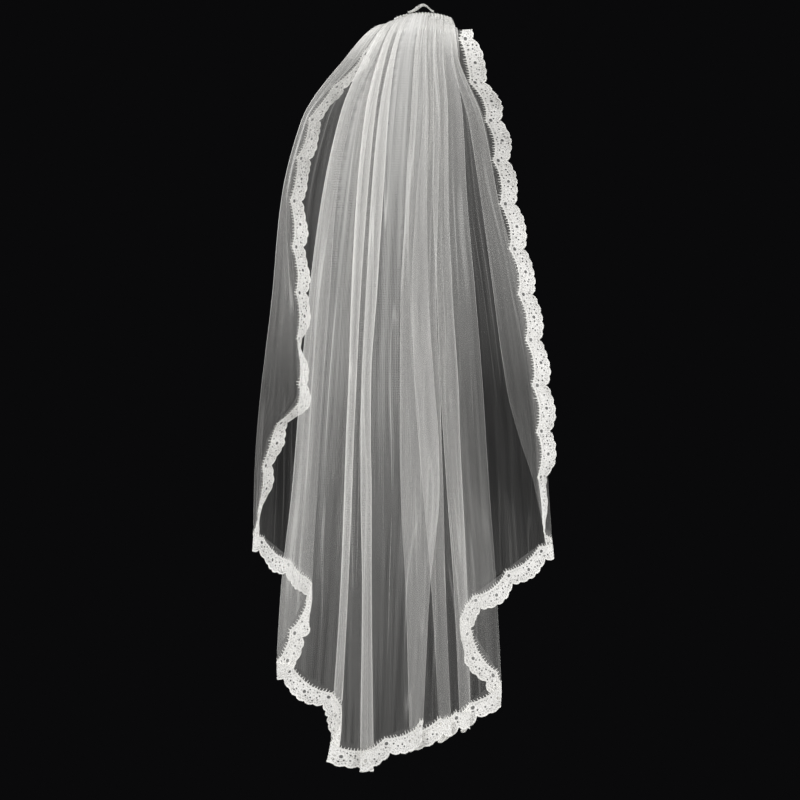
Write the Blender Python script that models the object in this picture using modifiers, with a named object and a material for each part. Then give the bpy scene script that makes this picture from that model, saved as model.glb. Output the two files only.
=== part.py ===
"""A one-tier bridal veil of net, edged with scalloped lace, gathered on to a hair comb.

Metres, +Z up, +Y the way the wearer faces. The origin is the middle of the comb's
spine, where the wearer's hair holds the veil. The net leaves the comb backwards,
turns over and falls. Its section at every height is one zigzag that starts at the
left lace edge and ends at the right one, and each turn of the zigzag is a fold line.
"""
import functools
import math

import bmesh
import bpy
import numpy as np

MM = 0.001

# Cloth
NET_WALL = 1.0 * MM
LACE_WALL = 1.2 * MM
SEAM_GAP = 0.3 * MM
FOLD_RADIUS_AT_COMB = 0.8 * MM
FOLD_RADIUS = 3.4 * MM
RADIUS_GROWS_OVER = 160 * MM

# How the net turns over from the comb and falls
TURN_DEPTH = 80 * MM
TURN_DROP = 100 * MM
BACK_SWELL = 7 * MM
SWELL_CENTRE = 270 * MM
SWELL_REACH = 190 * MM
SPREAD_LENGTH = 300 * MM
ARCH_FADES_OVER = 120 * MM

# Lace trimming
LACE_WIDTH = 22 * MM
SCALLOP_RISE = 9 * MM
SCALLOP_PITCH = 62 * MM
LACE_ROWS = (0.0, 0.15, 0.37, 0.56, 1.0)
EYELET_WIDTH = 5.6 * MM
EYELET_ROW_OF_QUARTER = (1, 2, 1, 2)
LACE_GAP = 0.9 * MM
LACE_STARTS = 22 * MM
CORNER_EASE = 45 * MM

# Comb
COMB_LENGTH = 84 * MM
COMB_ARCH_RADIUS = 105 * MM
COMB_TEETH = 19
TOOTH_LENGTH = 36 * MM
TOOTH_WIDTH = 1.7 * MM
TOOTH_TIP_SHARE = 0.55
SPINE_HEIGHT = 4.4 * MM
COMB_THICKNESS = 1.8 * MM
COMB_TILT = math.radians(24)
BINDING_THICKNESS = 4.4 * MM
BINDING_HEIGHT = 21 * MM
ROLL_RADIUS = 1.4 * MM
BINDING_BACK = -7.1 * MM
BINDING_TOP = 1.0 * MM

# Each fold line, from the left lace edge to the right one, in mm.
# across: left (-) or right (+) of the comb's middle, at the drops in DROPS.
# comb and full: how far forward of the middle panel it stands, at the comb and spread out.
# hem: how far below the comb the net ends there.
DROPS = (0, 55, 135, 239, 365, 490, 555, 615, 740, 915)
FOLD_LINES = (
    # name            across                                                     comb full  hem
    ("left_edge",    (-38, -82, -153, -179, -171, -167, -210, -219, -226, -229), 14.4, 188, 660),
    ("left_outer",   (-43, -99, -159, -189, -201, -216, -222, -225, -227, -231), 12.8, 165, 669),
    ("left_inner",   (-29, -59, -92, -112, -121, -130, -134, -137, -144, -147), 11.2, 74, 732),
    ("left_middle",  (-34, -72, -106, -130, -147, -159, -164, -169, -183, -193), 9.6, 56, 828),
    ("first_back",   (-20, -46, -61, -71, -80, -86, -89, -91, -96, -105), 8.0, 32, 885),
    ("first_front",  (-25, -54, -74, -85, -92, -96, -99, -101, -106, -117), 6.4, 24, 932),
    ("second_back",  (-10, -34, -44, -51, -59, -67, -67, -66, -66, -64), 4.8, 15, 946),
    ("second_front", (-16, -40, -56, -66, -73, -79, -80, -80, -78, -80), 3.2, 7.5, 942),
    ("third_front",  (7, 4, 6, 4, 6, 14, 19, 20, 8, -1), 3.2, 7.5, 905),
    ("third_back",   (2, -11, -16, -21, -29, -30, -30, -29, -23, -18), 4.8, 15, 918),
    ("fourth_front", (16, 16, 21, 19, 16, 21, 23, 25, 28, 35), 6.4, 23, 900),
    ("fourth_back",  (11, -1, -1, -9, -15, -11, -6, -1, 10, 20), 8.0, 31, 908),
    ("fifth_front",  (25, 25, 31, 32, 37, 45, 47, 50, 56, 61), 9.6, 39, 891),
    ("fifth_back",   (21, 12, 12, 12, 17, 22, 26, 30, 39, 47), 11.2, 47, 899),
    ("right_front",  (32, 37, 50, 56, 67, 77, 81, 85, 94, 103), 12.8, 58, 859),
    ("right_inner",  (28, 25, 27, 27, 30, 33, 36, 38, 45, 56), 14.4, 72, 772),
    ("right_outer",  (39, 45, 78, 102, 134, 157, 165, 168, 176, 181), 16.0, 160, 677),
    ("right_middle", (35, 36, 60, 79, 96, 114, 131, 150, 170, 175), 17.6, 172, 671),
    ("right_edge",   (43, 47, 81, 103, 128, 147, 153, 155, 174, 180), 19.2, 186, 663),
)

# The way the lace points beyond each side edge, in degrees round from the right (+X)
# towards the front (+Y), at the drops in TURN_DROPS.
TURN_DROPS = (0, 60, 170, 365, 430, 485, 560, 620, 670)
LEFT_LACE_TURN = (100, 80, 50, 48, 70, 54, 45, 66, 84)
RIGHT_LACE_TURN = (-10, 0, 12, 16, 16, 14, 20, 62, 78)

LAYERS = len(FOLD_LINES) - 1
ACROSS = np.array([line[1] for line in FOLD_LINES]) * MM
FORWARD_AT_COMB = np.array([line[2] for line in FOLD_LINES]) * MM
FORWARD_FULL = np.array([line[3] for line in FOLD_LINES]) * MM
HEM_DROP = np.array([line[4] for line in FOLD_LINES]) * MM
NAMES = [line[0] for line in FOLD_LINES]
LINE_NUMBERS = np.arange(LAYERS + 1)
ARC_SHARE = 0.14


# The fall of the middle panel

def fall_table():
    """Length of cloth from the comb, with the depth and drop it reaches there."""
    turn = np.linspace(0, math.pi / 2, 60)
    depth = TURN_DEPTH * np.sin(turn)
    drop = TURN_DROP * (1 - np.cos(turn))
    steps = np.hypot(np.diff(depth), np.diff(drop))
    return np.concatenate([[0], np.cumsum(steps)]), depth, drop


TURN_TABLE, DEPTH_TABLE, DROP_TABLE = fall_table()
TURN_LENGTH = TURN_TABLE[-1]


def smooth(x):
    x = min(max(x, 0.0), 1.0)
    return x * x * (3 - 2 * x)


def drop_at(length):
    if length >= TURN_LENGTH:
        return TURN_DROP + length - TURN_LENGTH
    return float(np.interp(length, TURN_TABLE, DROP_TABLE))


def length_at(drop):
    if drop >= TURN_DROP:
        return TURN_LENGTH + drop - TURN_DROP
    return float(np.interp(drop, DROP_TABLE, TURN_TABLE))


def depth_at(length):
    """How far the middle panel hangs behind the comb."""
    depth = float(np.interp(length, TURN_TABLE, DEPTH_TABLE))
    swell = math.exp(-(((drop_at(length) - SWELL_CENTRE) / SWELL_REACH) ** 2))
    return depth + BACK_SWELL * swell


def slope_at(length):
    """How steeply the cloth runs: 0 where it leaves the comb level, a right angle once it falls."""
    turned = math.acos(max(-1.0, 1 - min(drop_at(length) / TURN_DROP, 1.0)))
    return math.atan2(TURN_DROP * math.sin(turned), TURN_DEPTH * math.cos(turned))


LEVELS = np.array([length_at(drop * MM) for drop in DROPS])


def level_slopes():
    """Slopes that keep every fold line from overshooting between two levels."""
    rise = np.diff(ACROSS, axis=1) / np.diff(LEVELS)
    product = rise[:, :-1] * rise[:, 1:]
    total = rise[:, :-1] + rise[:, 1:]
    inner = np.where(product > 0, 2 * product / np.where(total == 0, 1, total), 0)
    return np.concatenate([rise[:, :1], inner, rise[:, -1:]], axis=1)


SLOPES = level_slopes()


@functools.lru_cache(maxsize=None)
def lines_at(length):
    """Where every fold line stands at this length: across, forward, and its fold radius."""
    i = int(np.clip(np.searchsorted(LEVELS, length) - 1, 0, len(LEVELS) - 2))
    span = LEVELS[i + 1] - LEVELS[i]
    t = (length - LEVELS[i]) / span
    if t > 1:
        across = ACROSS[:, -1] + SLOPES[:, -1] * (length - LEVELS[-1])
    else:
        across = (
            (2 * t ** 3 - 3 * t ** 2 + 1) * ACROSS[:, i]
            + (t ** 3 - 2 * t ** 2 + t) * span * SLOPES[:, i]
            + (3 * t ** 2 - 2 * t ** 3) * ACROSS[:, i + 1]
            + (t ** 3 - t ** 2) * span * SLOPES[:, i + 1]
        )
    spread = smooth(length / SPREAD_LENGTH)
    forward = FORWARD_AT_COMB + (FORWARD_FULL - FORWARD_AT_COMB) * spread
    grown = smooth(length / RADIUS_GROWS_OVER)
    radius = FOLD_RADIUS_AT_COMB + (FOLD_RADIUS - FOLD_RADIUS_AT_COMB) * grown
    return across, forward, radius


# The section at one height

NEAREST = NAMES.index("second_front")
FOLD_SIDE = np.where(LINE_NUMBERS <= NEAREST, -1.0, 1.0)


def fold_sizes(k, across, forward, radius):
    """How far fold line k is rounded across and forward, inside the room its layers leave."""
    steps = [abs(forward[j + 1] - forward[j]) for j in (k - 1, k) if 0 <= j < LAYERS and j != NEAREST]
    widths = [abs(across[j + 1] - across[j]) for j in (k - 1, k) if 0 <= j < LAYERS]
    return min(radius, min(widths) / 2), min(radius, min(steps) / 2)


def section_point(u, length):
    """Plan position (across, forward) of layer position u at this length of cloth."""
    k = int(np.clip(math.floor(u), 0, LAYERS - 1))
    phi = u - k
    across, forward, radius = lines_at(length)
    x0, x1 = across[k], across[k + 1]
    y0, y1 = forward[k], forward[k + 1]
    way = math.copysign(1.0, x1 - x0)
    wide0, deep0 = fold_sizes(k, across, forward, radius)
    wide1, deep1 = fold_sizes(k + 1, across, forward, radius)
    deep0 *= FOLD_SIDE[k]
    deep1 *= FOLD_SIDE[k + 1]
    first, last = k == 0, k == LAYERS - 1
    if phi < ARC_SHARE and not first:
        turn = phi / ARC_SHARE * math.pi / 2
        return x0 + way * wide0 * (1 - math.cos(turn)), y0 + deep0 * math.sin(turn)
    if phi > 1 - ARC_SHARE and not last:
        turn = (1 - phi) / ARC_SHARE * math.pi / 2
        return x1 - way * wide1 * (1 - math.cos(turn)), y1 - deep1 * math.sin(turn)
    low = 0.0 if first else ARC_SHARE
    high = 1.0 if last else 1 - ARC_SHARE
    start = (x0, y0) if first else (x0 + way * wide0, y0 + deep0)
    end = (x1, y1) if last else (x1 - way * wide1, y1 - deep1)
    share = (phi - low) / (high - low)
    return start[0] + (end[0] - start[0]) * share, start[1] + (end[1] - start[1]) * share


def comb_arch(x):
    return -x * x / (2 * COMB_ARCH_RADIUS)


def placed(x, forward, u, length):
    """A plan position made a point in space.

    The layers are stacked square to the cloth, so they lie under one another where it
    leaves the comb level. What they spread apart lower down is level.
    """
    stacked = float(np.interp(u, LINE_NUMBERS, FORWARD_AT_COMB))
    full = float(np.interp(u, LINE_NUMBERS, FORWARD_FULL))
    spread = smooth(length / SPREAD_LENGTH)
    square = forward * stacked / (stacked + (full - stacked) * spread)
    slope = slope_at(length)
    at_comb = float(np.interp(u, LINE_NUMBERS, ACROSS[:, 0]))
    lift = comb_arch(at_comb) * max(0.0, 1 - length / ARCH_FADES_OVER)
    back = depth_at(length) - square * math.sin(slope) - (forward - square)
    return np.array([x, -back, lift - drop_at(length) - square * math.cos(slope)])


def net_point(u, length):
    x, forward = section_point(u, length)
    return placed(x, forward, u, length)


SECTION_US = np.linspace(0, LAYERS, LAYERS * 14 + 1)


@functools.lru_cache(maxsize=None)
def section_run(length):
    """The running length across the cloth at SECTION_US."""
    plan = np.array([section_point(u, length) for u in SECTION_US])
    return np.concatenate([[0], np.cumsum(np.hypot(*np.diff(plan, axis=0).T))])


def moved_along(u, length, sideways):
    """The point a distance along the section from u, past the edges where need be."""
    run = section_run(length)
    here = float(np.interp(u, SECTION_US, run)) + sideways
    new_u = float(np.interp(here, run, SECTION_US))
    x, forward = section_point(new_u, length)
    beyond = min(here, 0.0) + max(here - run[-1], 0.0)
    if beyond:
        turns = LEFT_LACE_TURN if beyond < 0 else RIGHT_LACE_TURN
        turn = math.radians(float(np.interp(drop_at(length) / MM, TURN_DROPS, turns)))
        x += abs(beyond) * math.cos(turn)
        forward += abs(beyond) * math.sin(turn)
    return placed(x, forward, new_u, length)


def hem_length(u):
    """Length of the net at u. Between two fold lines the hem is a soft S."""
    k = int(np.clip(math.floor(u), 0, LAYERS - 1))
    share = 0.5 * (u - k) + 0.5 * smooth(u - k)
    return length_at(HEM_DROP[k] + (HEM_DROP[k + 1] - HEM_DROP[k]) * share)


# The net as grids between fold lines

ROWS = (0.0, 0.012, 0.03, 0.055, 0.085, 0.12, 0.16, 0.205, 0.255, 0.31, 0.37,
        0.44, 0.51, 0.58, 0.65, 0.72, 0.79, 0.86, 0.93, 1.0)
NET_TOP = 9.8 * MM
LEFT_CUT = 2.55
RIGHT_CUT = 14.45


def columns_between(first, last):
    """Layer positions of the net's columns: each fold's tip and the two ends of its arc."""
    found = []
    for k in range(first, last):
        wide = abs(ACROSS[k + 1][-3] - ACROSS[k][-3]) > 50 * MM
        inside = (ARC_SHARE, 0.38, 0.62, 1 - ARC_SHARE) if wide else (ARC_SHARE, 0.5, 1 - ARC_SHARE)
        found += [k] + [k + share for share in inside]
    return found + [last]


def row_lengths(u):
    end = hem_length(u)
    return [NET_TOP + (end - NET_TOP) * row for row in ROWS]


def new_material(name, colour, roughness, metallic=0.0, alpha=1.0):
    material = bpy.data.materials.new(name)
    material.use_nodes = True
    shader = material.node_tree.nodes["Principled BSDF"]
    shader.inputs["Base Color"].default_value = (*colour, 1)
    shader.inputs["Roughness"].default_value = roughness
    shader.inputs["Metallic"].default_value = metallic
    shader.inputs["Alpha"].default_value = alpha
    material.diffuse_color = (*colour, alpha)
    return material


def grid_object(name, across, down, place, material, collection, keep=None):
    """A grid whose vertices are moved to place(i, j). Faces that keep refuses are cut out."""
    mesh = bpy.data.meshes.new(name)
    grid = bmesh.new()
    bmesh.ops.create_grid(grid, x_segments=across, y_segments=down, size=0.5)
    cell = {}
    for vertex in grid.verts:
        i = round((vertex.co.x + 0.5) * across)
        j = round((0.5 - vertex.co.y) * down)
        cell[vertex] = (i, j)
    if keep:
        cut = []
        for face in grid.faces:
            i = min(cell[v][0] for v in face.verts)
            j = min(cell[v][1] for v in face.verts)
            if not keep(i, j):
                cut.append(face)
        bmesh.ops.delete(grid, geom=cut, context="FACES")
    for vertex in grid.verts:
        vertex.co = place(*cell[vertex])
    grid.to_mesh(mesh)
    grid.free()
    mesh.materials.append(material)
    made = bpy.data.objects.new(name, mesh)
    collection.objects.link(made)
    return made


def thicken(made, wall):
    solidify = made.modifiers.new("Wall", "SOLIDIFY")
    solidify.thickness = wall
    solidify.offset = 0
    return made


def build_net(name, first, last, material, collection):
    """The stretch of net between two cuts, each in the middle of a layer or at an edge."""
    columns = [first] + [u for u in columns_between(0, LAYERS) if first < u < last] + [last]
    lengths = [row_lengths(u) for u in columns]

    def place(i, j):
        u, length = columns[i], lengths[i][j]
        if i == 0 and first > 0:
            return moved_along(u, length, SEAM_GAP / 2)
        if i == len(columns) - 1 and last < LAYERS:
            return moved_along(u, length, -SEAM_GAP / 2)
        return net_point(u, length)

    made = grid_object(name, len(columns) - 1, len(ROWS) - 1, place, material, collection)
    return thicken(made, NET_WALL)


# The lace, a ribbon along the net's whole free edge

def edge_path():
    """The net's free edge as (u, length) pairs: down the left side, along the hem, up the right."""
    left = [(0, length) for length in row_lengths(0)]
    hem = [(u, hem_length(u)) for u in columns_between(0, LAYERS)[1:-1]]
    right = [(LAYERS, length) for length in reversed(row_lengths(LAYERS))]
    return left + hem + right


class Edge:
    """The free edge with its running length, and the way outwards in the flat cloth."""

    def __init__(self):
        self.at = np.array(edge_path(), float)
        self.points = np.array([net_point(u, length) for u, length in self.at])
        steps = np.linalg.norm(np.diff(self.points, axis=0), axis=1)
        self.run = np.concatenate([[0], np.cumsum(steps)])
        self.total = self.run[-1]
        self.outward = self.find_outward()

    def find_outward(self):
        """Angle of the outward way at even steps: -90 is left along the cloth, 0 is down, 90 is right."""
        self.even = np.linspace(0, self.total, 260)
        u = np.interp(self.even, self.run, self.at[:, 0])
        length = np.interp(self.even, self.run, self.at[:, 1])
        down = np.gradient(length, self.even)
        angle = np.degrees(np.arcsin(np.clip(down, -1, 1)))
        angle = -angle
        angle[u <= 0.0] = -90
        angle[u >= LAYERS] = 90
        reach = int(CORNER_EASE / (self.even[1] - self.even[0]))
        weights = np.hanning(2 * reach + 3)
        padded = np.pad(angle, reach + 1, mode="edge")
        return np.convolve(padded, weights / weights.sum(), "valid")

    def point(self, run, out):
        """The point that lies out from the edge in the cloth's own surface."""
        u = float(np.interp(run, self.run, self.at[:, 0]))
        length = float(np.interp(run, self.run, self.at[:, 1]))
        on_edge = np.array([np.interp(run, self.run, axis) for axis in self.points.T])
        turn = math.radians(float(np.interp(run, self.even, self.outward)))
        sideways, down = out * math.sin(turn), out * math.cos(turn)
        start = moved_along(u, length, 0.0)
        return on_edge + moved_along(u, length + down, sideways) - start

    def run_at(self, u):
        return float(np.interp(u, self.at[:, 0], self.run))


def scallop(run):
    """How far the lace's outer edge bulges: round lobes that meet in a cusp."""
    phase = (run / SCALLOP_PITCH) % 1
    return SCALLOP_RISE * math.sin(math.pi * phase) ** 0.7


def lace_runs(edge, start, end):
    """Running lengths of the lace's columns, and the cells between them that hold an eyelet."""
    marks = [start, end]
    marks += [run for run in edge.run if start + MM < run < end - MM]
    marks = merge_close(sorted(marks))
    for n in range(int(edge.total / SCALLOP_PITCH) + 1):
        lobe = (n + 0.5) * SCALLOP_PITCH
        if start < lobe < end and min(abs(lobe - run) for run in marks) > 2.5 * MM:
            marks.append(lobe)
    holes = {}
    half = EYELET_WIDTH / 2
    for n in range(4 * int(edge.total / SCALLOP_PITCH) + 4):
        wanted = n / 4 * SCALLOP_PITCH
        for shift in (0, 2, -2, 4, -4, 6, -6):
            centre = wanted + shift * MM
            a, b = centre - half, centre + half
            clear = start + 3 * MM < a and b < end - 3 * MM
            if clear and not any(a - 1.5 * MM < run < b + 1.5 * MM for run in marks):
                holes[a] = EYELET_ROW_OF_QUARTER[n % 4]
                marks += [a, b]
                break
    return sorted(marks), holes


def merge_close(marks):
    kept = [marks[0]]
    for run in marks[1:-1]:
        if run - kept[-1] > 0.3 * MM and marks[-1] - run > 0.3 * MM:
            kept.append(run)
    return kept + [marks[-1]]


def build_lace(name, edge, start, end, material, collection):
    runs, holes = lace_runs(edge, start, end)

    def place(i, j):
        width = LACE_WIDTH + scallop(runs[i])
        gap = LACE_GAP
        return edge.point(runs[i], gap + LACE_ROWS[j] * (width - gap))

    def keep(i, j):
        return holes.get(runs[i]) != j

    made = grid_object(name, len(runs) - 1, len(LACE_ROWS) - 1, place, material, collection, keep)
    return thicken(made, LACE_WALL)


# The comb and what covers its seam

def build_comb(material, collection):
    """A flat comb: one sheet with its teeth, tilted into the hair and arched over the head."""
    pitch = COMB_LENGTH / COMB_TEETH
    middles = [-COMB_LENGTH / 2 + (n + 0.5) * pitch for n in range(COMB_TEETH)]
    columns = [-COMB_LENGTH / 2]
    for middle in middles:
        columns += [middle - TOOTH_WIDTH / 2, middle + TOOTH_WIDTH / 2]
    columns.append(COMB_LENGTH / 2)
    reaches = (-SPINE_HEIGHT / 2, SPINE_HEIGHT / 2, SPINE_HEIGHT / 2 + TOOTH_LENGTH)

    def place(i, j):
        x, reach = columns[i], reaches[j]
        if j == 2:
            middle = min(middles, key=lambda m: abs(m - x))
            x = middle + (x - middle) * TOOTH_TIP_SHARE
        forward, up = reach * math.cos(COMB_TILT), -reach * math.sin(COMB_TILT)
        turn = x / COMB_ARCH_RADIUS
        radius = COMB_ARCH_RADIUS + up
        return radius * math.sin(turn), forward, radius * math.cos(turn) - COMB_ARCH_RADIUS

    def keep(i, j):
        return j == 0 or i % 2 == 1

    made = grid_object("comb", len(columns) - 1, 2, place, material, collection, keep)
    return thicken(made, COMB_THICKNESS)


def build_tube(name, points, radius, sides, material, collection):
    """A rod along these points, with filled ends."""
    curve = bpy.data.curves.new(name, "CURVE")
    curve.dimensions = "3D"
    curve.bevel_depth = radius
    curve.bevel_resolution = sides
    curve.use_fill_caps = True
    spline = curve.splines.new("POLY")
    spline.points.add(len(points) - 1)
    for point, place in zip(spline.points, points):
        point.co = (*place, 1)
    curve.materials.append(material)
    made = bpy.data.objects.new(name, curve)
    collection.objects.link(made)
    return made


def build_binding(material, collection):
    """The tape that is sewn round the gathered top, on the back of the comb's spine."""
    mesh = bpy.data.meshes.new("binding")
    shape = bmesh.new()
    bmesh.ops.create_cube(shape, size=1.0)
    lengthways = [edge for edge in shape.edges if edge.verts[0].co.x != edge.verts[1].co.x]
    bmesh.ops.subdivide_edges(shape, edges=lengthways, cuts=14, use_grid_fill=True)
    for vertex in shape.verts:
        x = vertex.co.x * COMB_LENGTH
        y = BINDING_BACK + (vertex.co.y + 0.5) * BINDING_THICKNESS
        z = BINDING_TOP + (vertex.co.z - 0.5) * BINDING_HEIGHT + comb_arch(x)
        vertex.co = (x, y, z)
    shape.to_mesh(mesh)
    shape.free()
    mesh.materials.append(material)
    made = bpy.data.objects.new("binding", mesh)
    collection.objects.link(made)
    bevel = made.modifiers.new("Soft edges", "BEVEL")
    bevel.width = 1.4 * MM
    bevel.segments = 3
    bevel.limit_method = "ANGLE"
    return made


def build_heading_roll(material, collection):
    """The rolled end of the net that stands up over the binding as a low arch."""
    left, right, rise = -21 * MM, 18 * MM, 9 * MM
    points = []
    for share in np.linspace(0, 1, 15):
        x = left + (right - left) * share
        lean = 0.5 - 0.5 * math.cos(math.pi * 2 * share ** 1.35)
        foot = BINDING_TOP + ROLL_RADIUS + SEAM_GAP
        points.append((x, BINDING_BACK + BINDING_THICKNESS / 2, comb_arch(x) + foot + rise * lean))
    return build_tube("heading_roll", points, ROLL_RADIUS, 2, material, collection)


def clear_scene():
    for thing in list(bpy.data.objects):
        bpy.data.objects.remove(thing)


def build_veil():
    clear_scene()
    veil = bpy.data.collections.new("bridal_veil")
    bpy.context.scene.collection.children.link(veil)
    net = new_material("net", (0.86, 0.86, 0.85), 0.8, alpha=0.45)
    lace = new_material("lace", (0.95, 0.95, 0.94), 0.7)
    tape = new_material("tape", (0.9, 0.9, 0.89), 0.6)
    plastic = new_material("clear_plastic", (0.85, 0.86, 0.87), 0.15)

    build_net("net_left_fall", 0, LEFT_CUT, net, veil)
    build_net("net_back", LEFT_CUT, RIGHT_CUT, net, veil)
    build_net("net_right_fall", RIGHT_CUT, LAYERS, net, veil)

    edge = Edge()
    left_corner = edge.run_at(0.5)
    right_corner = edge.run_at(LAYERS - 0.5)
    hem_start, hem_end = edge.run_at(LEFT_CUT), edge.run_at(RIGHT_CUT)
    stretches = (
        ("lace_left_edge", LACE_STARTS, left_corner),
        ("lace_left_fall", left_corner, hem_start),
        ("lace_hem", hem_start, hem_end),
        ("lace_right_fall", hem_end, right_corner),
        ("lace_right_edge", right_corner, edge.total - LACE_STARTS),
    )
    for name, start, end in stretches:
        build_lace(name, edge, start + SEAM_GAP / 2, end - SEAM_GAP / 2, lace, veil)

    build_comb(plastic, veil)
    build_binding(tape, veil)
    build_heading_roll(tape, veil)


build_veil()
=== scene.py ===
import functools
import math

import bmesh
import bpy
import numpy as np
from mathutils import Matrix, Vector, noise


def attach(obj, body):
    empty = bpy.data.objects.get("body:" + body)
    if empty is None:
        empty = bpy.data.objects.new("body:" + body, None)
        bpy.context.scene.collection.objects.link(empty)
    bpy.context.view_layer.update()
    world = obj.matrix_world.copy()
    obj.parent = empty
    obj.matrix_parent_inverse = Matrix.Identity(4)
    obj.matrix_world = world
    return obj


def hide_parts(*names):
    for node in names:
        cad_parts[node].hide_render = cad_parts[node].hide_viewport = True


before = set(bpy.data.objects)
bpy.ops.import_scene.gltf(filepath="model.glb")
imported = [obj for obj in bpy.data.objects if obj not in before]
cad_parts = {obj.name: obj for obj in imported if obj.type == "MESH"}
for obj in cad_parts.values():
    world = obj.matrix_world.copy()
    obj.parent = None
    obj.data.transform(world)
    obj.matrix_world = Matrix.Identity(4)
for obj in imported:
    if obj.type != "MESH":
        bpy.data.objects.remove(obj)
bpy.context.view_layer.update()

mm = 0.001
print("frame loaded")


# small helpers

def srgb(hexColour):
    # sRGB hex to the linear values that a shader socket takes
    parts = [int(hexColour[i:i + 2], 16) / 255 for i in (1, 3, 5)]
    return [c / 12.92 if c <= 0.04045 else ((c + 0.055) / 1.055) ** 2.4 for c in parts] + [1.0]


def smooth(x):
    x = min(max(x, 0.0), 1.0)
    return x * x * (3 - 2 * x)


def setInputs(tree, node, inputs):
    # each input is given a value or linked to another node's output
    for key, value in inputs.items():
        if isinstance(value, bpy.types.NodeSocket):
            tree.links.new(value, node.inputs[key])
        else:
            node.inputs[key].default_value = value


def addNode(tree, kind, inputs=None, **settings):
    node = tree.nodes.new(kind)
    for name, value in settings.items():
        setattr(node, name, value)
    setInputs(tree, node, inputs or {})
    return node


def newMaterial(name):
    material = bpy.data.materials.new(name)
    material.use_nodes = True
    tree = material.node_tree
    return material, tree, tree.nodes["Principled BSDF"]


def addObject(name, data, material=None):
    if material:
        data.materials.append(material)
    made = bpy.data.objects.new(name, data)
    bpy.context.scene.collection.objects.link(made)
    return made


def meshPiece(name, bm, material):
    mesh = bpy.data.meshes.new(name)
    bm.to_mesh(mesh)
    bm.free()
    return addObject(name, mesh, material)


# the fall of the net, the same fold lines as the solid, in mm
netFall = {
    "turnDepth": 80 * mm,  # how far back the cloth goes while it turns over
    "turnDrop": 100 * mm,
    "backSwell": 7 * mm,
    "swellCentre": 270 * mm,
    "swellReach": 190 * mm,
    "spreadLength": 300 * mm,  # the layers have opened out by here
    "archFadesOver": 120 * mm,
    "archRadius": 105 * mm,
    "radiusAtComb": 0.45 * mm,
    "foldRadius": 3.4 * mm,
    "radiusGrowsOver": 160 * mm,
    "arcShare": 0.14,
    "stackShare": 0.55,  # bare cloth packs closer at the comb than the solid's walls
    "netTop": 9.8 * mm,
    "rows": 150,
    "rowEase": 1.25,  # above 1 the rows lie closer at the comb
    "columnStep": 3.2 * mm,
    "tableSteps": 14,  # for each layer, in the tables below
    "tableRows": 320,
    "tableReach": 0.95,
    "hangsFreeFrom": 0.45,  # by this length of cloth every layer is at its full width
    "drops": (0, 55, 135, 239, 365, 490, 555, 615, 740, 915),
    "foldLines": (
        # across at each drop, forward at the comb, forward in full, hem drop, crease
        ((-38, -82, -153, -179, -171, -167, -210, -219, -226, -229), 14.4, 188, 660, 0.2),
        ((-43, -99, -159, -189, -201, -216, -222, -225, -227, -231), 12.8, 165, 669, 0.9),
        ((-29, -59, -92, -112, -121, -130, -134, -137, -144, -147), 11.2, 74, 732, 0.7),
        ((-34, -72, -106, -130, -147, -159, -164, -169, -183, -193), 9.6, 56, 828, 1.0),
        ((-20, -46, -61, -71, -80, -86, -89, -91, -96, -105), 8.0, 32, 885, 0.6),
        ((-25, -54, -74, -85, -92, -96, -99, -101, -106, -117), 6.4, 24, 932, 1.0),
        ((-10, -34, -44, -51, -59, -67, -67, -66, -66, -64), 4.8, 15, 946, 0.6),
        ((-16, -40, -56, -66, -73, -79, -80, -80, -78, -80), 3.2, 7.5, 942, 1.0),
        ((7, 4, 6, 4, 6, 14, 19, 20, 8, -1), 3.2, 7.5, 905, 0.5),
        ((2, -11, -16, -21, -29, -30, -30, -29, -23, -18), 4.8, 15, 918, 0.8),
        ((16, 16, 21, 19, 16, 21, 23, 25, 28, 35), 6.4, 23, 900, 0.6),
        ((11, -1, -1, -9, -15, -11, -6, -1, 10, 20), 8.0, 31, 908, 0.5),
        ((25, 25, 31, 32, 37, 45, 47, 50, 56, 61), 9.6, 39, 891, 0.7),
        ((21, 12, 12, 12, 17, 22, 26, 30, 39, 47), 11.2, 47, 899, 0.5),
        ((32, 37, 50, 56, 67, 77, 81, 85, 94, 103), 12.8, 58, 859, 1.0),
        ((28, 25, 27, 27, 30, 33, 36, 38, 45, 56), 14.4, 72, 772, 0.6),
        ((39, 45, 78, 102, 134, 157, 165, 168, 176, 181), 16.0, 160, 677, 0.8),
        ((35, 36, 60, 79, 96, 114, 131, 150, 170, 175), 17.6, 172, 671, 0.9),
        ((43, 47, 81, 103, 128, 147, 153, 155, 174, 180), 19.2, 186, 663, 0.2),
    ),
}
layers = len(netFall["foldLines"]) - 1
nearest = 7  # the middle panel lies between this fold line and the next
across, forwardAtComb, forwardFull, hemDrop, crease = map(np.array, zip(*netFall["foldLines"]))
across, forwardFull, hemDrop = across * mm, forwardFull * mm, hemDrop * mm
forwardAtComb = forwardAtComb * mm * netFall["stackShare"]
lineNumbers = np.arange(layers + 1)
foldSide = np.where(lineNumbers <= nearest, -1.0, 1.0)

# the cloth turns over at the top in a quarter of an ellipse, tabled by depth, drop and length
turn = np.linspace(0, math.pi / 2, 60)
depthTable = netFall["turnDepth"] * np.sin(turn)
dropTable = netFall["turnDrop"] * (1 - np.cos(turn))
turnTable = np.concatenate([[0], np.cumsum(np.hypot(np.diff(depthTable), np.diff(dropTable)))])
turnLength = turnTable[-1]


def dropAt(length):
    if length >= turnLength:
        return netFall["turnDrop"] + length - turnLength
    return float(np.interp(length, turnTable, dropTable))


def lengthAt(drop):
    if drop >= netFall["turnDrop"]:
        return turnLength + drop - netFall["turnDrop"]
    return float(np.interp(drop, dropTable, turnTable))


def depthAt(length):
    depth = float(np.interp(length, turnTable, depthTable))
    away = (dropAt(length) - netFall["swellCentre"]) / netFall["swellReach"]
    return depth + netFall["backSwell"] * math.exp(-away * away)


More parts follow.
